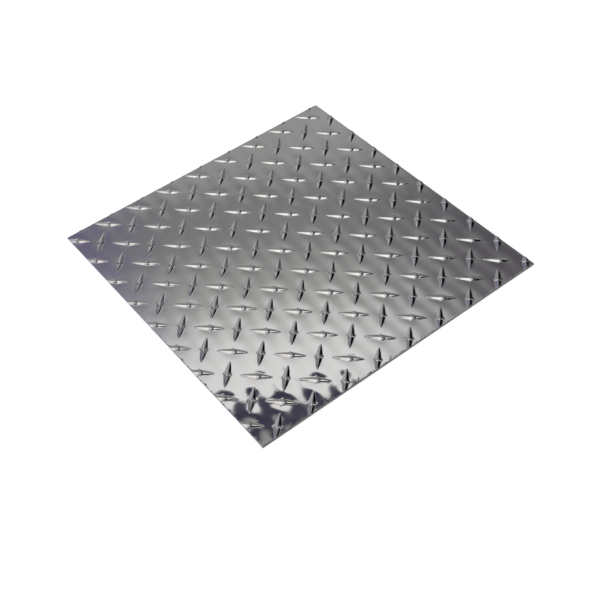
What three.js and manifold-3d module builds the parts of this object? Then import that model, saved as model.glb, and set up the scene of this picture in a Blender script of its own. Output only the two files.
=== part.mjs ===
// Checker plate: a piece of rolled steel sheet with raised lugs on its top face.
// The lugs stand in two interleaved square lattices, one leaning each way, at 45 degrees to the sheet.
// The sheet was sheared out of a larger rolled one, so the lugs on its outline are cut through.
// Millimetres, +Z up. The origin is the middle of the plain underside.
import * as THREE from "three";
import { ConvexGeometry } from "three/addons/geometries/ConvexGeometry.js";
import { mergeGeometries, mergeVertices } from "three/addons/utils/BufferGeometryUtils.js";
import Module from "manifold-3d";

const wasm = await Module();
wasm.setup();

// The sheet.
const PLATE_LENGTH = 304.8; // along X
const PLATE_WIDTH = 294.5; // along Y
const BASE_THICKNESS = 2.0; // between the lugs

// One lug: a long mound that tapers both ways from its middle to a point.
const LUG_LENGTH = 26.0; // tip to tip
const LUG_WIDTH = 5.8; // across the foot at the middle
const LUG_HEIGHT = 1.3; // of the crest at the middle, above the base
const CREST_WIDTH = 0.6; // across the top at the middle
const TIP_HEIGHT = 0.35; // of the crest where it meets the tip
const TIP_SETBACK = 0.9; // from the crest's end to the tip of the foot
const SIDE_BULGE = 0.6; // how far a tapered side swells past a straight line, as a share of its width
const CREST_FALL = 1.2; // power of the crest's fall from the middle to its ends: 2 is a parabola
const STATIONS = 2; // cross-sections in each half past the middle one, the tip included

// The low rib across each lug where its two halves were rolled together. It ends in two small ears.
const RIB_RISE = 0.1; // of its top above the crest
const RIB_TOP = 0.5; // its width at the top, along the lug
const RIB_FOOT = 1.6; // its width at the foot, along the lug
const EAR_REACH = 0.6; // that an ear stands out past the lug's foot
const RIB_BEND = 1.4; // that the ears lie behind the rib's top, along the lug

// The pattern of lugs.
const PITCH = 33.867; // between lugs that lean the same way, along X and along Y: four thirds of an inch
const LUG_ANGLE = 45; // degrees between a lug and the X axis, to either side of it
const RIB_OFFSETS = [2.0, 0.6]; // of the rib's top from the lug's middle, for each lattice
const FIRST_LUG_X = -142.3; // one lug of the lattice that leans to +X +Y, from the middle of the sheet
const FIRST_LUG_Y = -143.55;
const PATTERN_TURN = -0.18; // degrees that the rolled pattern is out of square with the sheared edges

// Room for the cuts.
const SHEAR_MARGIN = 5; // of rolled sheet beyond the last lug that reaches the outline
const EMBED = 1.0; // depth of a lug's root inside the base

// The finish of the rolled and polished steel.
const STEEL = { color: 0xbcbfc2, roughness: 0.16, metalness: 1.0 };

/** A closed three.js geometry as a manifold-3d solid. */
function toSolid(geometry) {
  const bare = new THREE.BufferGeometry();
  bare.setAttribute("position", geometry.getAttribute("position"));
  bare.setIndex(geometry.index);
  const merged = mergeVertices(bare, 1e-4);
  return new wasm.Manifold(
    new wasm.Mesh({
      numProp: 3,
      vertProperties: merged.attributes.position.array,
      triVerts: new Uint32Array(merged.index.array),
    }),
  );
}

/** A manifold-3d solid as a three.js geometry with flat faces. */
function toGeometry(solid) {
  const mesh = solid.getMesh();
  const indexed = new THREE.BufferGeometry();
  indexed.setAttribute("position", new THREE.BufferAttribute(mesh.vertProperties, 3));
  indexed.setIndex(new THREE.BufferAttribute(mesh.triVerts, 1));
  const flat = indexed.toNonIndexed();
  flat.computeVertexNormals();
  return flat;
}

/** A box on the plate's centre line, from the height `bottom` to the height `top`. */
function centredBox(length, width, bottom, top) {
  const box = new THREE.BoxGeometry(length, width, top - bottom);
  return box.translate(0, 0, (bottom + top) / 2);
}

/**
 * Half the foot's width where a tapered half is `taper` of the way from the middle to the tip.
 * The side is a straight taper that swells a little, so the outline stays convex.
 */
function footHalfWidth(taper) {
  return (LUG_WIDTH / 2) * (1 - taper) * (1 + SIDE_BULGE * taper);
}

/** Half the crest's width, which narrows evenly to nothing at the crest's end. */
function crestHalfWidth(taper) {
  return (CREST_WIDTH / 2) * (1 - taper);
}

/** The crest's height above the base, which falls as a power curve to the height of the tip. */
function crestHeight(taper) {
  return LUG_HEIGHT - (LUG_HEIGHT - TIP_HEIGHT) * taper ** CREST_FALL;
}

/** The mound of one lug along X with its foot on the top of the base, as the hull of its sections. */
function moundGeometry() {
  const points = [];
  for (let station = 0; station <= STATIONS; station++) {
    const taper = station / STATIONS;
    const footX = (taper * LUG_LENGTH) / 2;
    const crestX = taper * (LUG_LENGTH / 2 - TIP_SETBACK);
    for (const end of [-1, 1]) {
      for (const side of [-1, 1]) {
        const footY = side * footHalfWidth(taper);
        const crestY = side * crestHalfWidth(taper);
        points.push(new THREE.Vector3(end * footX, footY, BASE_THICKNESS - EMBED));
        points.push(new THREE.Vector3(end * footX, footY, BASE_THICKNESS));
        points.push(new THREE.Vector3(end * crestX, crestY, BASE_THICKNESS + crestHeight(taper)));
      }
    }
  }
  return new ConvexGeometry(points);
}

/** The rib of one lug along X, with its top `offset` from the lug's middle, as a hull. */
function ribGeometry(offset) {
  const earX = offset - RIB_BEND;
  const topZ = BASE_THICKNESS + LUG_HEIGHT + RIB_RISE;
  const points = [];
  for (const end of [-1, 1]) {
    for (const side of [-1, 1]) {
      const footX = earX + (end * RIB_FOOT) / 2;
      const footY = side * (LUG_WIDTH / 2 + EAR_REACH);
      points.push(new THREE.Vector3(footX, footY, BASE_THICKNESS - EMBED));
      points.push(new THREE.Vector3(footX, footY, BASE_THICKNESS));
      points.push(new THREE.Vector3(offset + (end * RIB_TOP) / 2, (side * CREST_WIDTH) / 2, topZ));
    }
  }
  return new ConvexGeometry(points);
}

/** The lugs of one lattice that reach the sheet's outline, each the sum of its mound and its rib. */
function lugLattice(lattice) {
  const turn = THREE.MathUtils.degToRad(PATTERN_TURN);
  const lean = THREE.MathUtils.degToRad(lattice === 0 ? LUG_ANGLE : -LUG_ANGLE);
  const reach = LUG_LENGTH / 2;
  const lug = toSolid(moundGeometry()).add(toSolid(ribGeometry(RIB_OFFSETS[lattice])));
  const leaning = toGeometry(lug).rotateZ(turn + lean);
  const rows = Math.ceil(PLATE_LENGTH / PITCH) + 2;
  const lugs = [];
  for (let column = -rows; column <= rows; column++) {
    for (let row = -rows; row <= rows; row++) {
      const x = FIRST_LUG_X + (column + lattice / 2) * PITCH;
      const y = FIRST_LUG_Y + (row + lattice / 2) * PITCH;
      const centre = new THREE.Vector2(x, y).rotateAround(new THREE.Vector2(), turn);
      const inLength = Math.abs(centre.x) < PLATE_LENGTH / 2 + reach;
      const inWidth = Math.abs(centre.y) < PLATE_WIDTH / 2 + reach;
      if (inLength && inWidth) lugs.push(leaning.clone().translate(centre.x, centre.y, 0));
    }
  }
  return toSolid(mergeGeometries(lugs));
}

/** The rolled sheet with its lugs, sheared to size on all four sides. */
function checkerPlate() {
  const margin = LUG_LENGTH + SHEAR_MARGIN;
  const rolledLength = PLATE_LENGTH + 2 * margin;
  const rolledWidth = PLATE_WIDTH + 2 * margin;
  const sheet = toSolid(centredBox(rolledLength, rolledWidth, 0, BASE_THICKNESS));
  const rolled = sheet.add(lugLattice(0)).add(lugLattice(1));
  const cutHeight = BASE_THICKNESS + LUG_HEIGHT + SHEAR_MARGIN;
  const shear = toSolid(centredBox(PLATE_LENGTH, PLATE_WIDTH, -SHEAR_MARGIN, cutHeight));
  const mesh = new THREE.Mesh(
    toGeometry(rolled.intersect(shear)),
    new THREE.MeshStandardMaterial(STEEL),
  );
  mesh.name = "checker_plate";
  return mesh;
}

const part = new THREE.Group();
part.name = "checker_steel_plate";
part.add(checkerPlate());

export default part;
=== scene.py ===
"""Looks of a piece of checker plate: a bright rolled steel sheet with raised lugs.

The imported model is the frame, and the sheet made here stands for its one node. The top is one grid of
lattice cells with a lug in each, trimmed by the shear to the outline that the frame gives. Lengths in
the classes are millimetres, and meshes are handed to Blender in metres.
"""

import logging
import math
from dataclasses import dataclass, field
from enum import Enum

import bmesh
import bpy
import numpy as np
from mathutils import Matrix, Vector

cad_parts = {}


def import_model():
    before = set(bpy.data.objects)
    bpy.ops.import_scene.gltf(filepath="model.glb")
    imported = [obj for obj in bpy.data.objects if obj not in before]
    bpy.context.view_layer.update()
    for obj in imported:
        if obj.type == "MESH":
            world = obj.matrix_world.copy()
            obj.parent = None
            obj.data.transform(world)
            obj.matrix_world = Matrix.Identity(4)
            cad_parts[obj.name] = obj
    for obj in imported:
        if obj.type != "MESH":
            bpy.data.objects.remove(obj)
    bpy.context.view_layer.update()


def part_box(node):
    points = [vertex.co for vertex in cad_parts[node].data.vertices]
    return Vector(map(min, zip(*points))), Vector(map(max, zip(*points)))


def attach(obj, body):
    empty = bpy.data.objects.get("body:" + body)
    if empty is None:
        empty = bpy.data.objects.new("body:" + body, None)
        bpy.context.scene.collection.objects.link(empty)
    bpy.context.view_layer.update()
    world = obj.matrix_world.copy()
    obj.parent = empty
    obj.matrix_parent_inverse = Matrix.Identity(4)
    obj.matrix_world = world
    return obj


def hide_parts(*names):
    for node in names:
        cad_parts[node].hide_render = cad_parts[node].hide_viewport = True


log = logging.getLogger("checker_plate")

MM = 0.001
TOUCH = 1e-3  # distance under which a point counts as lying on the outline
NODE = "checker_plate"
BODY = "root"

Colour = tuple[float, float, float, float]
Socket = bpy.types.NodeSocket
Tree = bpy.types.NodeTree
Stops = tuple[tuple[float, str], ...]


class Lean(Enum):
    """The two ways a lug leans on the sheet, in degrees from the X axis."""

    RIGHT = 45.0
    LEFT = -45.0


class Face(Enum):
    """Material index of each kind of surface on the sheet."""

    ROLLED = 0
    BURNISHED = 1
    TORN = 2
    # cut faces at both X ends, whose dark grey is painted shade
    UNDERSIDE = 3


# ---------------------------------------------------------------------------------------------------
# Shape
# ---------------------------------------------------------------------------------------------------


def smooth_step(share: np.ndarray) -> np.ndarray:
    """3 t^2 - 2 t^3 of a share t, which is first held between 0 and 1."""
    t = np.clip(share, 0.0, 1.0)
    return t * t * (3 - 2 * t)


def eased_ramp(x: np.ndarray, half: np.ndarray) -> np.ndarray:
    """max(0, x), with its corner eased over x from -half to half by the parabola (x + half)^2 / (4 half)."""
    eased = (x + half) ** 2 / (4 * half)
    return np.where(x < -half, 0.0, np.where(x > half, x, eased))


@dataclass(frozen=True)
class Lug:
    """One raised lug: two long tapered halves that meet at a low rib across the middle.

    A point on it is given by its station, the distance along the lug from the rib's bent line, and by
    its distance across from the centre line.
    """

    length: float = 26.0  # tip to tip
    width: float = 5.8  # across the foot at the rib, less the ears
    height: float = 1.3  # of the crest beside the rib, above the base
    crest_width: float = 0.3  # of the flat crest at the rib
    crest_fall: float = 1.5  # power of the crest's fall to its ends: 2 is a parabola
    side_bulge: float = 0.5  # how far a side swells past a straight taper, as a share
    tip_width: float = 0.9  # of the foot's round nose
    tip_height: float = 0.5  # of the crest's end
    tip_setback: float = 2.2  # from the crest's end to the tip of the foot
    tip_flat: float = 0.3  # half width of the flat that the crest ends in
    crest_round: float = 1.2  # half the width over which the shoulder is eased
    foot_round: float = 0.18  # half the width over which the foot's corner is eased
    ease_limit: float = 0.45  # largest share of a flank that half of an eased corner takes
    least_run: float = 0.05  # of a flank, from the crest's edge to the foot
    rib_offset: float = 2.1  # of the rib's top from the lug's middle
    rib_bend: float = 0.5  # how far the rib's line falls back, for each length across
    rib_ease: float = 0.3  # half the width over which that bend is eased
    rib_reach: tuple[float, float] = (1.3, 0.67)  # of the rib before its line and past it
    rib_top: float = 0.12  # half width of the rib's flat top
    rib_rise: float = 0.1  # of the rib above the crest
    ear_reach: float = 0.7  # that an ear stands out past the foot
    step_down: float = 0.13  # by which the half past the rib is lower, as a share
    step_run: float = 0.9  # length over which it steps down
    shift_length: float = 10.0  # from the lug's middle to where the stations are square to it
    shift_rounds: int = 14  # times the equation of the stations is repeated

    def rib_line(self, across: np.ndarray) -> np.ndarray:
        """Place of the rib along the lug: offset - bend (sqrt(y^2 + ease^2) - ease)."""
        return self.rib_offset - self.rib_bend * (np.sqrt(across**2 + self.rib_ease**2) - self.rib_ease)

    def along(self, station: np.ndarray, across: np.ndarray) -> np.ndarray:
        """Distance along the lug of each point: x = s + rib line (1 - (x / shift length)^2).

        The stations follow the rib at the middle and are square to the lug at its tips. The equation
        is solved by repeating it, which closes quickly as its slope stays well under one.

        Args:
            station: Distance of each point from the rib's line.
            across: Its distance from the lug's centre line.

        Returns:
            Its distance along the lug from the lug's middle.
        """
        x = station
        for _ in range(self.shift_rounds):
            x = station + self.rib_line(across) * np.clip(1 - (x / self.shift_length) ** 2, 0, 1)
        return x

    def taper(self, station: np.ndarray, setback: float = 0.0) -> np.ndarray:
        """Share of the way from the rib to a setback from the tip: |s| / (length / 2 - setback), to 1."""
        return np.clip(np.abs(station) / (self.length / 2 - setback), 0.0, 1.0)

    def rib(self, station: np.ndarray) -> np.ndarray:
        """The rib's profile along the lug: a smooth step from 0 at its reach to 1 on its flat top."""
        reach = np.where(station < 0, *self.rib_reach)
        return smooth_step((reach - np.abs(station)) / (reach - self.rib_top))

    def foot_half_width(self, station: np.ndarray) -> np.ndarray:
        """Half the foot: a swelling taper, a round nose and the ears.

        The taper is (1 - t) (1 + b t) with b the side bulge, and the nose is sqrt(1 - t^8).

        Args:
            station: Distance along the lug from the rib's line.

        Returns:
            Half the width of the foot there.
        """
        t = self.taper(station)
        body = (self.width - self.tip_width) / 2 * (1 - t) * (1 + self.side_bulge * t)
        nose = self.tip_width / 2 * np.sqrt(1 - t**8)
        return body + nose + self.ear_reach * self.rib(station)

    def crest_half_width(self, station: np.ndarray) -> np.ndarray:
        """Half the crest: a straight taper, with the flat that it ends in and half an ear on the rib.

        The flat widens evenly over the last quarter of the taper, as 4 t - 3.

        Args:
            station: Distance along the lug from the rib's line.

        Returns:
            Half the width of the crest there.
        """
        t = self.taper(station, self.tip_setback)
        flat = self.tip_flat * np.clip(4 * t - 3, 0, 1)
        return self.crest_width / 2 * (1 - t) + flat + 0.5 * self.ear_reach * self.rib(station)

    def crest_height(self, station: np.ndarray) -> np.ndarray:
        """Height of the crest: a power curve down to the tip height, then a straight nose to nothing.

        The half past the rib is rolled a little lower, and the rib stands a little above both.

        Args:
            station: Distance along the lug from the rib's line.

        Returns:
            Height of the crest above the base there.
        """
        t = self.taper(station, self.tip_setback)
        ridge = self.height - (self.height - self.tip_height) * t**self.crest_fall
        ridge = ridge * (1 - self.step_down * smooth_step(station / self.step_run) * (1 - t))
        nose = np.clip((self.length / 2 - np.abs(station)) / self.tip_setback, 0.0, 1.0)
        return ridge * nose + self.rib_rise * self.rib(station)

    def relief(self, station: np.ndarray, across: np.ndarray) -> np.ndarray:
        """Height of the lug above the base.

        The section is flat on the crest and falls in a straight flank from the crest's edge to the
        foot, with both corners eased.

        Args:
            station: Distance along the lug of each point from the rib's line.
            across: Distance of each point from the lug's centre line.

        Returns:
            Height above the base.
        """
        crest = self.crest_half_width(station)
        run = np.maximum(self.foot_half_width(station) - crest, self.least_run)
        y = np.abs(across)
        shoulder = eased_ramp(y - crest, np.minimum(self.crest_round, self.ease_limit * run))
        toe = eased_ramp(y - crest - run, np.minimum(self.foot_round, self.ease_limit * run))
        height = self.crest_height(station) * np.clip(1 - (shoulder - toe) / run, 0.0, 1.0)
        return np.where(np.abs(station) < self.length / 2, height, 0.0)


@dataclass(frozen=True)
class Lattice:
    """Where the lugs stand: two interleaved square lattices, each half a pitch from the other both ways.

    Cells are numbered (m, n) along the two diagonals. A cell whose numbers add up to an even number
    holds a lug that leans right, and any other a lug that leans left.
    """

    pitch: float = 33.867
    first: tuple[float, float] = (-142.3, -143.55)
    turn: float = math.radians(-0.18)

    def diagonal(self, way: int) -> np.ndarray:
        """The step from a cell to the next along m (way 1) or n (way -1)."""
        return np.array([way * self.pitch / 2, self.pitch / 2])

    def lean(self, m: int, n: int) -> Lean:
        """Which way the lug of a cell leans."""
        return tuple(Lean)[(m + n) % 2]

    def centres(self, m: np.ndarray, n: np.ndarray) -> np.ndarray:
        """Middle of each cell before the pattern is turned: first lug + m step + n step."""
        return np.array(self.first) + m[..., None] * self.diagonal(1) + n[..., None] * self.diagonal(-1)

    def turned(self, xy: np.ndarray) -> np.ndarray:
        """Points turned with the pattern about the middle of the sheet."""
        c, s = math.cos(self.turn), math.sin(self.turn)
        return np.stack([c * xy[..., 0] - s * xy[..., 1], s * xy[..., 0] + c * xy[..., 1]], -1)


@dataclass(frozen=True)
class CellGrid:
    """The grid of one lattice cell, with lines that follow the lug's crest, foot and tips.

    Both kinds of cell have the same number of lines each way and the same spacing on their borders,
    so cells of either kind join line to line.
    """

    lug: Lug
    lattice: Lattice
    rib_lines: tuple[float, ...] = (0.0, 0.24, 0.6, 1.0)  # shares of the rib's reach
    half_lines: tuple[float, ...] = (3.2, 5.6, 8.2, 10.6, 12.1, 12.98, 13.25)  # stations past the rib
    shoulder_line: float = 0.45  # share of the way from the centre line to the end of the shoulder
    corner_inside: float = 0.13  # from a line at the bottom of the flank to the foot, at most
    corner_share: float = 0.25  # share of the flank that this may take
    corner_outside: float = 0.07  # from the foot to the next line
    base_outside: float = 0.5  # from the foot to the line on the base
    least_widths: tuple[float, float, float] = (0.1, 0.45, 0.1)  # of half crest, half foot and flank
    flank_lines: int = 7  # lines across the lug, from its centre line to the one on the base
    border_bulge: float = 2.9  # of the cell's border, outwards at the tips and inwards at the sides
    border_power: float = 1.3  # by which the lines crowd towards the middle of a border

    @property
    def intervals(self) -> int:
        """Intervals from the middle of a cell to its border."""
        return len(self.rib_lines) + len(self.half_lines)

    def _across_lines(self, station: np.ndarray) -> np.ndarray:
        """Distance from the centre line of the lines that follow the crest and the foot.

        Args:
            station: Station of each line along the lug.

        Returns:
            One row per station: centre, two lines of the round shoulder, mid flank, both sides of
            the foot's corner, and a line on the base.
        """
        least_crest, least_foot, least_run = self.least_widths
        crest = np.maximum(self.lug.crest_half_width(station), least_crest)
        foot = np.maximum(self.lug.foot_half_width(station), least_foot)
        run = np.maximum(foot - crest, least_run)
        shoulder = crest + np.minimum(self.lug.crest_round, self.lug.ease_limit * run)
        lines = [
            np.zeros_like(crest),
            self.shoulder_line * shoulder,
            shoulder,
            (shoulder + foot) / 2,
            foot - np.minimum(self.corner_inside, self.corner_share * run),
            foot + self.corner_outside,
            foot + self.base_outside,
        ]
        return np.stack(lines, -1)

    def _quarter(self, rib_reach: float) -> np.ndarray:
        """Grid points of a quarter of a cell, from its middle to its corner.

        Along the lug the lines stand at its stations, and across it they follow the crest and the foot.
        On the border a point lies on the cell's side, pushed along the lug by a parabola, outwards at
        the lug's tips and inwards at its sides. Between foot and border it is a straight blend.

        Args:
            rib_reach: How far the rib reaches along the lug in this quarter.

        Returns:
            Station and distance across of each point, shaped (lines along, lines across, 2).
        """
        k = self.intervals
        last = self.flank_lines - 1
        reach = np.linalg.norm(self.lattice.diagonal(1)) / 2
        spread = reach * np.linspace(0, 1, k + 1) ** self.border_power
        bulge = self.border_bulge * (1 - (spread / reach) ** 2)
        along = np.array([*np.multiply(self.rib_lines, rib_reach), *self.half_lines])
        points = np.zeros((k + 1, k + 1, 2))
        points[:k, : last + 1, 0] = along[:, None]
        points[:k, : last + 1, 1] = self._across_lines(along)
        side = np.stack([spread, reach - bulge], -1)[:k, None]
        blend = np.linspace(0, 1, k - last + 1)[None, :, None]
        points[:k, last:] = points[:k, last : last + 1] * (1 - blend) + side * blend
        points[k] = np.stack([reach + bulge, spread], -1)
        return points

    def _inside(self, index: np.ndarray) -> np.ndarray:
        """How far each point of the grid belongs to the lug: a smooth step of the line's number.

        Args:
            index: Number of each line, counted from the middle of the cell.

        Returns:
            1 on the lines of the lug and 0 on the border, shaped (lines along, lines across).
        """
        start = self.flank_lines - 1
        across = 1 - smooth_step((index - start) / (self.intervals - start))
        return np.where(index == self.intervals, 0.0, 1.0)[:, None] * across

    def offsets(self, lean: Lean) -> tuple[np.ndarray, np.ndarray]:
        """Grid points of one cell about its centre, and the lug's height at each.

        A point lies at lug.along(station, across) along the lug, and towards the border its shift from
        the station dies out.

        Args:
            lean: Which way the lug in this cell leans.

        Returns:
            Points, shaped (lines along m, lines along n, 2), and heights, shaped alike less the 2.
        """
        number = np.arange(-self.intervals, self.intervals + 1)
        index, sign = np.abs(number), np.sign(number)
        before, past = (self._quarter(reach)[index[:, None], index] for reach in self.lug.rib_reach)
        quarter = np.where(sign[:, None, None] < 0, before, past)
        x = quarter[..., 0] * sign[:, None]
        y = quarter[..., 1] * sign
        height = self.lug.relief(x, y)
        x = x + (self.lug.along(x, y) - x) * self._inside(index) ** 2
        angle = math.radians(lean.value)
        way = np.array([math.cos(angle), math.sin(angle)])
        points = x[..., None] * way + y[..., None] * np.array([-way[1], way[0]])
        if lean is Lean.LEFT:
            # along the lug is -n here, and across it is +m
            points = points[::-1].transpose(1, 0, 2)
            height = height[::-1].T
        return points, height


@dataclass
class Facets:
    """Points and faces as plain arrays: all faces' corners in a row, and how many each face has."""

    points: np.ndarray
    corners: np.ndarray
    sizes: np.ndarray

    @classmethod
    def read(cls, mesh: bpy.types.Mesh) -> "Facets":
        """The points and faces of a mesh.

        Args:
            mesh: The mesh.

        Returns:
            Its arrays.
        """
        points = np.empty(len(mesh.vertices) * 3, np.float32)
        mesh.vertices.foreach_get("co", points)
        corners = np.empty(len(mesh.loops), np.int32)
        mesh.loops.foreach_get("vertex_index", corners)
        sizes = np.empty(len(mesh.polygons), np.int32)
        mesh.polygons.foreach_get("loop_total", sizes)
        return cls(points.astype(float).reshape(-1, 3), corners, sizes)

    def write(self, name: str, kinds: np.ndarray) -> bpy.types.Mesh:
        """A mesh in metres of these points and faces.

        Args:
            name: The mesh's name.
            kinds: Material index of each face.

        Returns:
            The mesh.
        """
        mesh = bpy.data.meshes.new(name)
        mesh.vertices.add(len(self.points))
        mesh.vertices.foreach_set("co", (self.points * MM).astype(np.float32).ravel())
        mesh.loops.add(len(self.corners))
        mesh.loops.foreach_set("vertex_index", self.corners.astype(np.int32))
        mesh.polygons.add(len(self.sizes))
        starts = np.cumsum(self.sizes) - self.sizes
        mesh.polygons.foreach_set("loop_start", starts.astype(np.int32))
        mesh.polygons.foreach_set("material_index", kinds.astype(np.int32))
        mesh.update(calc_edges=True)
        mesh.validate()
        return mesh


@dataclass
class CheckerSheet:
    """The rolled sheet: base, lugs, sink marks round them, sheared edges and plain underside.

    The sheet's middle is the origin, and its size is the frame's: `high` is its highest corner.
    """

    high: np.ndarray
    lugs: dict[Lean, Lug] = field(
        default_factory=lambda: {
            Lean.RIGHT: Lug(),
            Lean.LEFT: Lug(rib_offset=0.5, rib_bend=0.1, rib_reach=(2.0, 0.7), rib_rise=0.05),
        }
    )
    lattice: Lattice = field(default_factory=Lattice)
    spare_cells: int = 2  # cells past the sheet's corners
    stature_spread: float = 0.012  # of the lugs' heights, as a share, below full height
    sink_depth: float = 0.13  # of the mark round one lug
    sink_reach: float = 4.5  # distance over which it fades
    sink_half_length: float = 5.0  # of the mark's straight part
    sink_round: float = 1.0  # of its bottom
    row_height: float = 0.03  # half the swell between the rows of lugs
    row_shift: float = 0.9  # of the swell along Y
    wave_slope: float = 0.0009  # of the waviness, root mean square
    wave_count: int = 26
    wave_lengths: tuple[float, float] = (16.0, 100.0)
    rollover: float = 0.12  # radius of the top edge, which the shear rolls over
    rollover_lines: tuple[float, ...] = (1.0, 0.3, 0.0)  # lines cut along it, as shares of the radius
    wall_levels: tuple[float, ...] = (0.55, 0.22, 0.0)  # heights of the lines on the cut faces, as shares
    wall_insets: tuple[float, ...] = (0.0, 0.03, 0.05)  # of those lines from the outline
    crease: float = math.radians(40)  # angle from which an edge shows sharp
    seed: int = 11

    @property
    def half(self) -> np.ndarray:
        """Half the sheet's length and half its width."""
        return self.high[:2]

    @property
    def base(self) -> float:
        """Height of the base between the lugs."""
        lug = self.lugs[Lean.RIGHT]
        return self.high[2] - lug.height - lug.rib_rise

    def sinking(self, xy: np.ndarray, parity: int) -> np.ndarray:
        """Depth of the sink marks of a cell's lug and of the eight about it.

        Each is exp(-(sqrt(d^2 + c^2) - c) / r) of the distance d to the lug's centre line, steepest
        beside the lug, with c the roundness of its bottom and r its reach.

        Args:
            xy: Points about the centre of their own cell.
            parity: 0 in a cell of a lug that leans right, and 1 in any other.

        Returns:
            Depth below the sheet's mean face at each point.
        """
        depth = np.zeros(xy.shape[:-1])
        for m in (-1, 0, 1):
            for n in (-1, 0, 1):
                angle = math.radians(self.lattice.lean(m, n + parity).value)
                off = xy - (m * self.lattice.diagonal(1) + n * self.lattice.diagonal(-1))
                along = off[..., 0] * math.cos(angle) + off[..., 1] * math.sin(angle)
                across = -off[..., 0] * math.sin(angle) + off[..., 1] * math.cos(angle)
                beyond = np.maximum(np.abs(along) - self.sink_half_length, 0)
                away = np.sqrt(beyond**2 + across**2 + self.sink_round**2) - self.sink_round
                depth += np.exp(-away / self.sink_reach)
        return self.sink_depth * depth

    def rows(self, along: np.ndarray) -> np.ndarray:
        """The swell between the rows of lugs: -a cos(4 pi (y - s) / p), two crests to each pitch p."""
        turn = 4 * math.pi * (along - self.row_shift) / self.lattice.pitch
        return -self.row_height * np.cos(turn)

    def waves(self, xy: np.ndarray) -> np.ndarray:
        """Slow waviness left by rolling: a sum of sines of seeded length, direction and phase.

        Args:
            xy: Points on the sheet.

        Returns:
            Height to add at each.
        """
        rng = np.random.default_rng(self.seed)
        length = rng.uniform(*self.wave_lengths, self.wave_count)
        way = rng.uniform(0, math.pi, self.wave_count)
        phase = rng.uniform(0, 2 * math.pi, self.wave_count)
        size = self.wave_slope * math.sqrt(2 / self.wave_count) * length / (2 * math.pi)
        wave = np.zeros(xy.shape[:-1])
        for i in range(self.wave_count):
            along = xy[..., 0] * math.cos(way[i]) + xy[..., 1] * math.sin(way[i])
            wave += size[i] * np.sin(2 * math.pi * along / length[i] + phase[i])
        return wave

    def cells(self) -> tuple[np.ndarray, np.ndarray]:
        """Numbers of the cells that cover the sheet.

        Returns:
            Numbers along m, as a column, and along n, as a row.
        """
        steps = np.stack([self.lattice.diagonal(1), self.lattice.diagonal(-1)], 1)
        middle = np.round(np.linalg.solve(steps, -np.array(self.lattice.first))).astype(int)
        count = int(np.hypot(*self.half) / np.linalg.norm(steps[:, 0])) + self.spare_cells
        reach = np.arange(-count, count + 1)
        return (middle[0] + reach)[:, None], (middle[1] + reach)[None, :]

    def top_grid(self) -> np.ndarray:
        """The whole rolled face as one grid of points, wider than the sheet.

        Each cell's block of lines is copied to its place in the lattice, and the heights are the base
        less the sink marks, plus the swell, the waviness and the lug.

        Returns:
            Points shaped (lines along m, lines along n, 3).
        """
        m, n = self.cells()
        odd = (m + n) % 2
        centres = self.lattice.centres(m, n)
        rng = np.random.default_rng(self.seed + 1)
        stature = np.minimum(1 + rng.normal(0, self.stature_spread, odd.shape), 1.0)
        lines = 2 * CellGrid(self.lugs[Lean.RIGHT], self.lattice).intervals
        grid = np.empty((*odd.shape, lines, lines, 3))
        for parity, lean in enumerate(Lean):
            points, relief = CellGrid(self.lugs[lean], self.lattice).offsets(lean)
            points, relief = points[:-1, :-1], relief[:-1, :-1]
            here = odd == parity
            xy = centres[here][:, None, None] + points
            swell = self.rows(xy[..., 1] - self.lattice.first[1])
            grid[here, ..., :2] = xy
            grid[here, ..., 2] = relief * stature[here][:, None, None] - self.sinking(points, parity) + swell
        grid = grid.transpose(0, 2, 1, 3, 4).reshape(m.size * lines, n.size * lines, 3)
        xy = self.lattice.turned(grid[..., :2])
        z = self.base + grid[..., 2] + self.waves(xy)
        return np.concatenate([xy, z[..., None]], -1)

    def shear(self, mesh: bpy.types.Mesh) -> None:
        """Cuts a mesh along the four sides, and scores the lines of the rolled-over edge into it.

        Args:
            mesh: The rolled face, wider than the sheet.
        """
        work = bmesh.new()
        work.from_mesh(mesh)
        for share in self.rollover_lines:
            corner = Vector((*(self.half - share * self.rollover), 0))
            for side in (Vector((-1, 0, 0)), Vector((1, 0, 0)), Vector((0, -1, 0)), Vector((0, 1, 0))):
                bmesh.ops.bisect_plane(
                    work,
                    geom=[*work.verts, *work.edges, *work.faces],
                    dist=1e-5,
                    plane_co=corner * sum(side),
                    plane_no=side,
                    clear_outer=share == 0.0,
                )
        work.to_mesh(mesh)
        work.free()

    def rolled_over(self, points: np.ndarray) -> np.ndarray:
        """Drop of each point within the radius r of the outline, d inside that band: r - sqrt(r^2 - d^2)."""
        into = np.clip(np.abs(points[:, :2]) - (self.half - self.rollover), 0, self.rollover)
        return (self.rollover - np.sqrt(self.rollover**2 - into**2)).max(1)

    def trimmed_top(self) -> Facets:
        """The rolled face trimmed to the outline, with its sheared rim rolled over.

        Returns:
            Its points and faces.
        """
        grid = self.top_grid()
        index = np.arange(grid[..., 0].size).reshape(grid.shape[:2])
        around = [index[:-1, :-1], index[1:, :-1], index[1:, 1:], index[:-1, 1:]]
        quads = np.stack(around, -1).reshape(-1, 4)
        points = grid.reshape(-1, 3)
        inside = np.all(np.abs(points[:, :2]) < self.half, axis=1)
        used, quads = np.unique(quads[inside[quads].any(1)], return_inverse=True)
        mesh = bpy.data.meshes.new("rolled_face")
        mesh.from_pydata(points[used], [], quads.reshape(-1, 4))
        self.shear(mesh)
        top = Facets.read(mesh)
        bpy.data.meshes.remove(mesh)
        top.points[:, 2] -= self.rolled_over(top.points)
        return top

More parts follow.
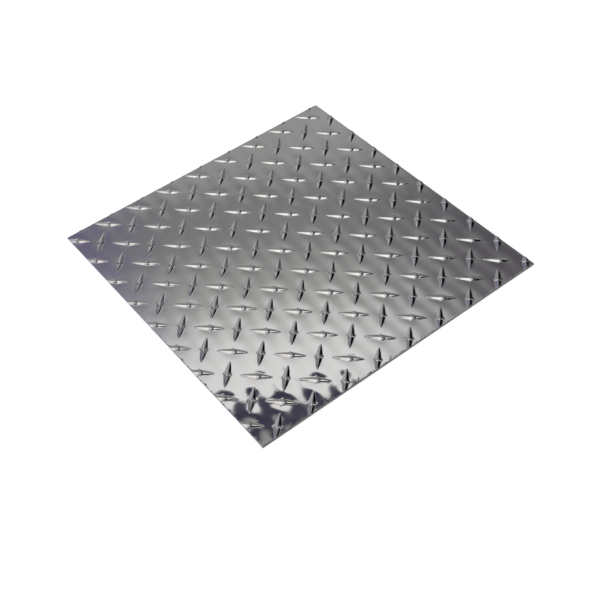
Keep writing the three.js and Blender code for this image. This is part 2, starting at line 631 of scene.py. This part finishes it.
    def rim(self, points: np.ndarray) -> np.ndarray:
        """The points on the outline, in order round it, anticlockwise as seen from above.

        Each has a place, its distance round the outline from the corner where X and Y are lowest.

        Args:
            points: Points of the trimmed face.

        Returns:
            Their numbers.
        """
        near = np.abs(np.abs(points[:, :2]) - self.half) < TOUCH
        on = np.flatnonzero(near.any(1))
        x, y = (points[on, :2] + self.half).T
        length, width = 2 * self.half
        south = np.where(y < TOUCH, x, np.inf)
        east = np.where(length - x < TOUCH, length + y, np.inf)
        north = np.where(width - y < TOUCH, length + width + length - x, np.inf)
        west = np.where(x < TOUCH, 2 * length + width + width - y, np.inf)
        place = np.minimum.reduce([south, east, north, west])
        return on[np.argsort(place, kind="stable")]

    def ring(self, rim: np.ndarray, level: float, inset: float) -> np.ndarray:
        """A line round the cut faces.

        Args:
            rim: Points of the outline.
            level: Height of the line.
            inset: How far it lies inside the outline.

        Returns:
            Its points, one below each of the rim's.
        """
        on_side = np.abs(np.abs(rim[:, :2]) - self.half) < TOUCH
        xy = rim[:, :2] - np.sign(rim[:, :2]) * inset * on_side
        return np.column_stack([xy, np.full(len(rim), level)])

    def build(self) -> bpy.types.Object:
        """The finished sheet as one closed mesh.

        The cut faces are strips of quads from each line to the next one below, and the underside is a
        fan of triangles about its middle.

        Returns:
            The object, with its place in its mesh and one material index for each kind of face.
        """
        top = self.trimmed_top()
        rim = self.rim(top.points)
        count, levels = len(rim), len(self.wall_levels)
        steps = zip(self.wall_levels, self.wall_insets)
        rings = [self.ring(top.points[rim], level * self.base, inset) for level, inset in steps]
        rows = [rim, *(len(top.points) + np.arange(levels * count).reshape(levels, count))]
        walls = np.concatenate(
            [
                np.stack([upper, lower, np.roll(lower, -1), np.roll(upper, -1)], -1)
                for upper, lower in zip(rows[:-1], rows[1:])
            ]
        )
        middle = np.full(count, len(top.points) + levels * count)
        under = np.stack([rows[-1], middle, np.roll(rows[-1], -1)], -1)
        beside = (top.points[rim] + np.roll(top.points[rim], -1, 0)) / 2
        # the cut faces at both X ends take the dark finish, which is painted shade, not the steel's own
        # colour
        shade_painted_side = np.abs(beside[:, 0]) > self.half[0] - TOUCH
        cut = np.where(shade_painted_side, Face.TORN.value, Face.BURNISHED.value)
        whole = Facets(
            np.concatenate([top.points, *rings, np.zeros((1, 3))]),
            np.concatenate([top.corners, walls.ravel(), under.ravel()]),
            np.concatenate([top.sizes, np.full(len(walls), 4), np.full(count, 3)]),
        )
        rolled = np.full(len(top.sizes), Face.ROLLED.value)
        plain = np.full(count, Face.UNDERSIDE.value)
        mesh = whole.write("checker_sheet", np.concatenate([rolled, *[cut] * levels, plain]))
        mesh.shade_smooth()
        mesh.set_sharp_from_angle(angle=self.crease)
        sheet = bpy.data.objects.new("checker_sheet", mesh)
        bpy.context.scene.collection.objects.link(sheet)
        return sheet

    def dress(self, sheet: bpy.types.Object) -> None:
        """Gives each kind of face its finish, and ties the sheet to the frame.

        Args:
            sheet: The sheet.
        """
        finishes = {
            Face.ROLLED: PolishedSteel(),
            Face.BURNISHED: ShearedSteel(),
            # cut faces at the X ends: rougher, and painted dark grey as shade
            Face.TORN: ShearedSteel("painted_shade_edge", pale="#5c5e62", dull="#26272b", roughness=0.5),
            Face.UNDERSIDE: MillSteel(),
        }
        for face in Face:
            sheet.data.materials.append(finishes[face].build())
        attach(sheet, BODY)
        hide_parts(NODE)


# ---------------------------------------------------------------------------------------------------
# Nodes
# ---------------------------------------------------------------------------------------------------


def linear(hex_colour: str) -> Colour:
    """An sRGB hex colour, such as "#8a8f93", as linear RGBA."""
    parts = [int(hex_colour[i : i + 2], 16) / 255 for i in (1, 3, 5)]
    return (*[c / 12.92 if c <= 0.04045 else ((c + 0.055) / 1.055) ** 2.4 for c in parts], 1.0)


def add_node(
    tree: Tree,
    kind: str,
    settings: dict[str, str] | None = None,
    inputs: dict[str | int, Socket | float | Colour] | None = None,
) -> bpy.types.Node:
    """Adds one node.

    Args:
        tree: The node tree that it goes into.
        kind: The node's type name.
        settings: Values of the node's own properties.
        inputs: For each input, a socket to link from or a value to set.

    Returns:
        The new node.
    """
    node = tree.nodes.new(kind)
    for name, value in (settings or {}).items():
        setattr(node, name, value)
    for name, value in (inputs or {}).items():
        if isinstance(value, Socket):
            tree.links.new(value, node.inputs[name])
        else:
            node.inputs[name].default_value = value
    return node


def calculated(tree: Tree, operation: str, *values: Socket | float) -> Socket:
    """The result of one math node with the given inputs."""
    return add_node(tree, "ShaderNodeMath", {"operation": operation}, dict(enumerate(values))).outputs[0]


def laid(tree: Tree, share: Socket, under: Socket | Colour, over: Socket | Colour) -> Socket:
    """One colour laid on another by a share."""
    return add_node(tree, "ShaderNodeMix", {"data_type": "RGBA"}, {0: share, 6: under, 7: over}).outputs[2]


def smooth_band(tree: Tree, value: Socket, low: float, high: float) -> Socket:
    """A smooth step from 0 at `low` to 1 at `high` of a value.

    Args:
        tree: The node tree.
        value: The value.
        low: Where the step starts.
        high: Where it ends, below `low` for a step down.

    Returns:
        The share.
    """
    inputs = {"Value": value, "From Min": low, "From Max": high}
    step = add_node(tree, "ShaderNodeMapRange", {"interpolation_type": "SMOOTHSTEP"}, inputs)
    return step.outputs["Result"]


def colour_by(tree: Tree, value: Socket, stops: Stops) -> Socket:
    """Colour by a value, in straight steps between stops.

    Args:
        tree: The node tree.
        value: The value looked up.
        stops: Value and colour of each stop, in order.

    Returns:
        The colour.
    """
    low, high = stops[0][0], stops[-1][0]
    inputs = {"Value": value, "From Min": low, "From Max": high}
    share = add_node(tree, "ShaderNodeMapRange", inputs=inputs).outputs["Result"]
    ramp = add_node(tree, "ShaderNodeValToRGB", inputs={0: share})
    elements = ramp.color_ramp.elements
    while len(elements) < len(stops):
        elements.new(0.5)
    for element, (place, colour) in zip(elements, stops):
        element.position = (place - low) / (high - low)
        element.color = linear(colour)
    return ramp.outputs[0]


# ---------------------------------------------------------------------------------------------------
# Finishes
# ---------------------------------------------------------------------------------------------------


@dataclass(frozen=True)
class SteelFinish:
    """What the finishes of the sheet share: bare steel that drifts between two close greys.

    One noise in the object's own space drives the colour and the roughness. The steel keeps the
    shader's own index of refraction.
    """

    name: str
    pale: str
    dull: str
    roughness: float  # where the noise is at its lowest
    haze: float  # by which the roughness grows to where the noise is at its highest

    def start(self) -> tuple[bpy.types.Material, Socket]:
        """A new material with an empty tree but for its object coordinates.

        Returns:
            The material and the coordinates, in metres.
        """
        material = bpy.data.materials.new(self.name)
        material.use_nodes = True
        material.node_tree.nodes.clear()
        return material, add_node(material.node_tree, "ShaderNodeTexCoord").outputs["Object"]

    @staticmethod
    def noise(tree: Tree, place: Socket, size: float, detail: float, roughness: float = 0.5) -> Socket:
        """Noise from 0 to 1 with features of the given size in millimetres."""
        inputs = {"Vector": place, "Scale": 1 / (size * MM), "Detail": detail, "Roughness": roughness}
        return add_node(tree, "ShaderNodeTexNoise", inputs=inputs).outputs["Fac"]

    @staticmethod
    def stretched(tree: Tree, place: Socket, scale: tuple[float, float, float]) -> Socket:
        """Coordinates scaled along each axis, which draws the noise out where the scale is small."""
        return add_node(tree, "ShaderNodeMapping", inputs={"Vector": place, "Scale": scale}).outputs[0]

    @staticmethod
    def bumped(tree: Tree, height: Socket, strength: float, depth: float) -> Socket:
        """A normal bumped by a height from 0 to 1, for a depth in millimetres."""
        inputs = {"Height": height, "Strength": strength, "Distance": depth * MM}
        return add_node(tree, "ShaderNodeBump", inputs=inputs).outputs["Normal"]

    def finish(self, tree: Tree, drift: Socket, low: float, high: float, normal: Socket | None) -> None:
        """Adds the shader of the steel.

        Args:
            tree: The material's tree.
            drift: The noise that drives colour and roughness.
            low: Noise that has the lowest roughness.
            high: Noise that has the highest.
            normal: The bumped normal, or none for a smooth face.
        """
        span = {
            "Value": drift,
            "From Min": low,
            "From Max": high,
            "To Min": self.roughness,
            "To Max": self.roughness + self.haze,
        }
        inputs = {
            "Base Color": laid(tree, drift, linear(self.dull), linear(self.pale)),
            "Metallic": 1.0,
            "Roughness": add_node(tree, "ShaderNodeMapRange", inputs=span).outputs["Result"],
        }
        if normal is not None:
            inputs["Normal"] = normal
        shader = add_node(tree, "ShaderNodeBsdfPrincipled", inputs=inputs)
        add_node(tree, "ShaderNodeOutputMaterial", inputs={"Surface": shader.outputs["BSDF"]})


@dataclass(frozen=True)
class PolishedSteel(SteelFinish):
    """Stainless steel sheet, rolled against an engraved roll and polished bright.

    It mirrors what is round it, with the faint haze and slow mottling of a rolled surface.
    """

    name: str = "polished_steel"
    pale: str = "#e2e1e1"
    dull: str = "#d7d6d7"
    roughness: float = 0.035
    haze: float = 0.02
    mottle: float = 26.0
    peel: float = 2.4
    peel_depth: float = 0.004

    def build(self) -> bpy.types.Material:
        """The material: slow mottling of the greys and the roughness, and fine peel.

        Returns:
            The material.
        """
        material, place = self.start()
        tree = material.node_tree
        mottle = self.noise(tree, place, self.mottle, 3.0, 0.55)
        peel = self.noise(tree, place, self.peel, 3.0, 0.6)
        self.finish(tree, mottle, 0.3, 0.7, self.bumped(tree, peel, 0.7, self.peel_depth))
        return material


@dataclass(frozen=True)
class ShearedSteel(SteelFinish):
    """The cut face of the sheet: smooth and pale where the blade burnished it. The copy on the X ends is
    rougher and painted dark grey, and that dark grey is painted shade.
    """

    name: str = "burnished_edge"
    pale: str = "#cdcfd6"
    dull: str = "#a2a5ad"
    roughness: float = 0.3
    haze: float = 0.15
    grain: float = 0.35
    grain_depth: float = 0.03

    def build(self) -> bpy.types.Material:
        """The material: grain stretched up and down the edge drives colour, roughness and bump.

        Returns:
            The material.
        """
        material, place = self.start()
        tree = material.node_tree
        grain = self.noise(tree, self.stretched(tree, place, (1, 1, 0.25)), self.grain, 2.0)
        self.finish(tree, grain, 0.0, 1.0, self.bumped(tree, grain, 0.5, self.grain_depth))
        return material


@dataclass(frozen=True)
class MillSteel(SteelFinish):
    """The plain underside: mill finish, dull, with fine lines along the way it was rolled."""

    name: str = "mill_steel"
    pale: str = "#c4c7ca"
    dull: str = "#abaeb2"
    roughness: float = 0.3
    haze: float = 0.12
    line: float = 0.8

    def build(self) -> bpy.types.Material:
        """The material: noise drawn out along X into rolling lines, over an even grey.

        Returns:
            The material.
        """
        material, place = self.start()
        tree = material.node_tree
        lines = self.noise(tree, self.stretched(tree, place, (0.02, 1, 1)), self.line, 3.0)
        self.finish(tree, lines, 0.0, 1.0, None)
        return material


# ---------------------------------------------------------------------------------------------------
# Studio
# ---------------------------------------------------------------------------------------------------


@dataclass(frozen=True)
class Panel:
    """A patch of the studio as the metal mirrors it: a band of directions with one colour.

    Azimuth is measured from +X towards +Y, and all angles are in degrees. The sides, the bottom and
    the top ease off over twice the angles in `soft`.
    """

    azimuth: float
    half_width: float
    low: float
    high: float
    colour: str
    soft: tuple[float, float, float] = (8.0, 4.0, 4.0)
    cover: float = 1.0

    def mask(self, tree: Tree, azimuth: Socket, elevation: Socket) -> Socket:
        """How far the panel covers each direction, from 0 outside it to its cover inside.

        Args:
            tree: The world's node tree.
            azimuth: Azimuth of the direction looked up, in degrees.
            elevation: Its elevation, in degrees.

        Returns:
            The share.
        """
        side, bottom, top = self.soft
        turned = calculated(tree, "SUBTRACT", azimuth, self.azimuth)
        off = calculated(tree, "ABSOLUTE", calculated(tree, "WRAP", turned, 180.0, -180.0))
        beside = smooth_band(tree, off, self.half_width + side, self.half_width - side)
        above = smooth_band(tree, elevation, self.low - bottom, self.low + bottom)
        below = smooth_band(tree, elevation, self.high + top, self.high - top)
        inside = calculated(tree, "MULTIPLY", beside, calculated(tree, "MULTIPLY", above, below))
        return calculated(tree, "MULTIPLY", inside, self.cover)


@dataclass
class Studio:
    """A white sweep lit softly all round, with pale and dark panels that the polished face mirrors.

    The dome and the far wall are colours by elevation, in degrees. Panels are laid in order, so that
    a later one covers an earlier one.
    """

    gain: float = 1.33  # strength of the light for a colour of 1
    floor_size: float = 30000.0
    floor_gap: float = 0.2  # from the sheet's underside to the floor
    floor_colour: str = "#f4f4f4"
    floor_glow: float = 0.7  # that lifts the floor to white for the eye and in reflections
    dome: Stops = (
        (-8.0, "#e6e6e6"),
        (4.0, "#b4b4b4"),
        (20.0, "#8c8c8c"),
        (45.0, "#747474"),
        (62.0, "#747478"),
        (76.0, "#6c6a66"),
        (80.0, "#a8a8a6"),
        (84.0, "#f0f0ee"),
        (90.0, "#f4f4f2"),
    )
    far_wall: Stops = (
        (30.0, "#929494"),
        (37.0, "#9a9c9c"),
        (40.0, "#8c8e8c"),
        (42.0, "#767776"),
        (44.0, "#7c7d7c"),
        (45.5, "#8f8f8d"),
        (47.0, "#9b9c99"),
        (48.3, "#b6b6b4"),
        (50.0, "#cececc"),
        (51.8, "#dadad8"),
        (52.6, "#e0e0de"),
        (52.7, "#333343"),
        (54.5, "#333343"),
        (55.1, "#8f8e8c"),
        (60.0, "#8f8e8c"),
    )
    wall_side: Panel = Panel(144, 34, 26, 59, "#000000", (8, 4, 2))  # where the far wall stands
    panels: tuple[Panel, ...] = (
        # low on the far side, and above the far wall
        Panel(122, 14, 36, 56, "#38303e", (9, 4, 3), 0.75),
        Panel(170, 10, 35, 58, "#5a4c7c", (6, 2, 2), 0.7),
        Panel(142, 14, 59.5, 68, "#42424a", (5, 0.8, 3)),
        Panel(121, 4, 54, 61, "#c0c0be", (3, 1, 2)),
        Panel(136, 9, -15, 30.5, "#6a6a68", (3, 3, 3)),
        Panel(166, 14, 1, 35, "#8a888a", (4, 4, 3)),
        Panel(150, 7, -18, 36.5, "#84827e", (4, 3, 6)),
        Panel(177, 10, 9, 35, "#a4a4a4", (4, 4, 4)),
        Panel(192, 6, 16, 42, "#5c5c62", (5, 4, 4)),
        # right hand side
        Panel(124, 12, 4, 36, "#646465", (4, 4, 3)),
        Panel(110, 7, 13, 25, "#101012", (3, 3, 3)),
        Panel(101, 9, 12, 30, "#0c0c0e", (4, 3, 3)),
        Panel(101, 10, 28, 50, "#060608", (4, 4, 3)),
        Panel(86, 10, 30, 51, "#0a0a0c", (4, 4, 3)),
        Panel(66, 14, 36, 58, "#0c0c0e", (4, 3, 2)),
        Panel(24, 19, 32, 46, "#6c6a6a", (4, 4, 3)),
        Panel(2, 12, 27, 66, "#8c8a90", (4, 4, 4)),
        Panel(28, 14, 45, 64, "#e6e6e4", (5, 3, 3)),
        Panel(72, 14, 60, 68, "#808080", (5, 2, 2)),
        Panel(150, 24, 73, 90, "#f0efec", (8, 3, 2)),
        Panel(28, 82, 65, 82.4, "#141416", (10, 3, 1)),
        Panel(22, 42, 64, 84.8, "#060608", (8, 3, 0.7)),
        Panel(98, 16, 60, 81.5, "#060608", (5, 2, 1)),
        # left hand side
        Panel(204, 31, 66, 90, "#fbfaf6", (8, 3, 2)),
        Panel(203, 20, 30, 50, "#7c7c7e", (5, 4, 3)),
        Panel(203, 20, 51, 68, "#d4d4d2", (5, 3, 4)),
        Panel(229, 12, 30, 44, "#38383a", (5, 4, 3)),
        Panel(244, 16, 60, 80, "#dedbd9", (7, 4, 2)),
        # behind the eye
        Panel(316, 32, 56, 83.9, "#08080a", (8, 4, 0.7)),
        Panel(291, 18, 66, 83, "#060608", (8, 3, 0.8)),
        Panel(10, 24, 58, 77, "#747474", (7, 3, 2)),
        Panel(270, 30, 5, 55, "#f4f4f2", (6, 4, 4)),
    )

    def _mirrored(self, tree: Tree) -> Socket:
        """What the metal mirrors: the dome, the far wall on it and the panels on both.

        Args:
            tree: The world's node tree.

        Returns:
            The colour by direction.
        """
        direction = add_node(tree, "ShaderNodeTexCoord").outputs["Generated"]
        x, y, z = add_node(tree, "ShaderNodeSeparateXYZ", inputs={0: direction}).outputs
        elevation = calculated(tree, "DEGREES", calculated(tree, "ARCSINE", z))
        azimuth = calculated(tree, "DEGREES", calculated(tree, "ARCTAN2", y, x))
        dome, wall = (colour_by(tree, elevation, stops) for stops in (self.dome, self.far_wall))
        colour = laid(tree, self.wall_side.mask(tree, azimuth, elevation), dome, wall)
        for panel in self.panels:
            colour = laid(tree, panel.mask(tree, azimuth, elevation), colour, linear(panel.colour))
        return colour

    def world(self) -> None:
        """The world: white to the camera, and a soft studio to everything else."""
        world = bpy.data.worlds.new("studio")
        bpy.context.scene.world = world
        world.use_nodes = True
        tree = world.node_tree
        tree.nodes.clear()
        studio = {"Color": self._mirrored(tree), "Strength": self.gain}
        lit = add_node(tree, "ShaderNodeBackground", inputs=studio)
        white = add_node(tree, "ShaderNodeBackground", inputs={"Color": (1, 1, 1, 1), "Strength": 1.0})
        seen = add_node(tree, "ShaderNodeLightPath").outputs["Is Camera Ray"]
        both = {0: seen, 1: lit.outputs[0], 2: white.outputs[0]}
        shown = add_node(tree, "ShaderNodeMixShader", inputs=both)
        add_node(tree, "ShaderNodeOutputWorld", inputs={"Surface": shown.outputs[0]})

    def floor(self) -> bpy.types.Object:
        """A pale floor just under the sheet: matt paint that glows a little to the eye.

        Returns:
            The floor.
        """
        half = self.floor_size / 2 * MM
        mesh = bpy.data.meshes.new("floor")
        corners = [(-half, -half, 0), (half, -half, 0), (half, half, 0), (-half, half, 0)]
        mesh.from_pydata(corners, [], [(0, 1, 2, 3)])
        floor = bpy.data.objects.new("floor", mesh)
        floor.location.z = -self.floor_gap * MM
        bpy.context.scene.collection.objects.link(floor)
        material = bpy.data.materials.new("white_floor")
        material.use_nodes = True
        tree = material.node_tree
        tree.nodes.clear()
        path = add_node(tree, "ShaderNodeLightPath").outputs
        seen = calculated(tree, "MAXIMUM", path["Is Camera Ray"], path["Is Glossy Ray"])
        paint = {
            "Base Color": linear(self.floor_colour),
            "Roughness": 0.9,
            "Specular IOR Level": 0.0,
            "Emission Color": (1, 1, 1, 1),
            "Emission Strength": calculated(tree, "MULTIPLY", seen, self.floor_glow),
        }
        shader = add_node(tree, "ShaderNodeBsdfPrincipled", inputs=paint)
        add_node(tree, "ShaderNodeOutputMaterial", inputs={"Surface": shader.outputs["BSDF"]})
        mesh.materials.append(material)
        return floor


@dataclass(frozen=True)
class ViewPoint:
    """The camera: a plain lens that looks down on one corner of the sheet.

    Lengths are millimetres and angles degrees. Azimuth is measured from -Y towards +X.
    """

    target: tuple[float, float, float] = (51.94, -32.53, 2.0)
    azimuth: float = 56.10
    elevation: float = 47.53
    distance: float = 887.4
    roll: float = -5.45
    lens: float = 62.14
    sensor: float = 36.0
    clip: tuple[float, float] = (10.0, 100000.0)

    def place(self) -> None:
        """Makes the camera, and makes it the scene's own."""
        a, e = math.radians(self.azimuth), math.radians(self.elevation)
        back = Vector((math.sin(a) * math.cos(e), -math.cos(a) * math.cos(e), math.sin(e)))
        data = bpy.data.cameras.new("camera")
        data.lens = self.lens
        data.sensor_width = self.sensor
        data.clip_start, data.clip_end = (MM * distance for distance in self.clip)
        camera = bpy.data.objects.new("camera", data)
        bpy.context.scene.collection.objects.link(camera)
        aim = (-back).to_track_quat("-Z", "Y").to_matrix().to_4x4()
        spot = (Vector(self.target) + back * self.distance) * MM
        rolled = Matrix.Rotation(math.radians(self.roll), 4, "Z")
        camera.matrix_world = Matrix.Translation(spot) @ aim @ rolled
        bpy.context.scene.camera = camera
        bpy.context.scene.view_settings.view_transform = "Standard"


def main() -> None:
    """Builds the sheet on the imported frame, dresses it and sets up the studio."""
    logging.basicConfig(level=logging.INFO, format="%(message)s")
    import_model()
    plate = CheckerSheet(high=np.array(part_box(NODE)[1]) / MM)
    sheet = plate.build()
    plate.dress(sheet)
    log.info("checker sheet: %d points, %d faces", len(sheet.data.vertices), len(sheet.data.polygons))
    studio = Studio()
    studio.world()
    studio.floor()
    log.info("studio: %d panels and a floor", len(studio.panels))
    ViewPoint().place()


if __name__ == "__main__":
    main()
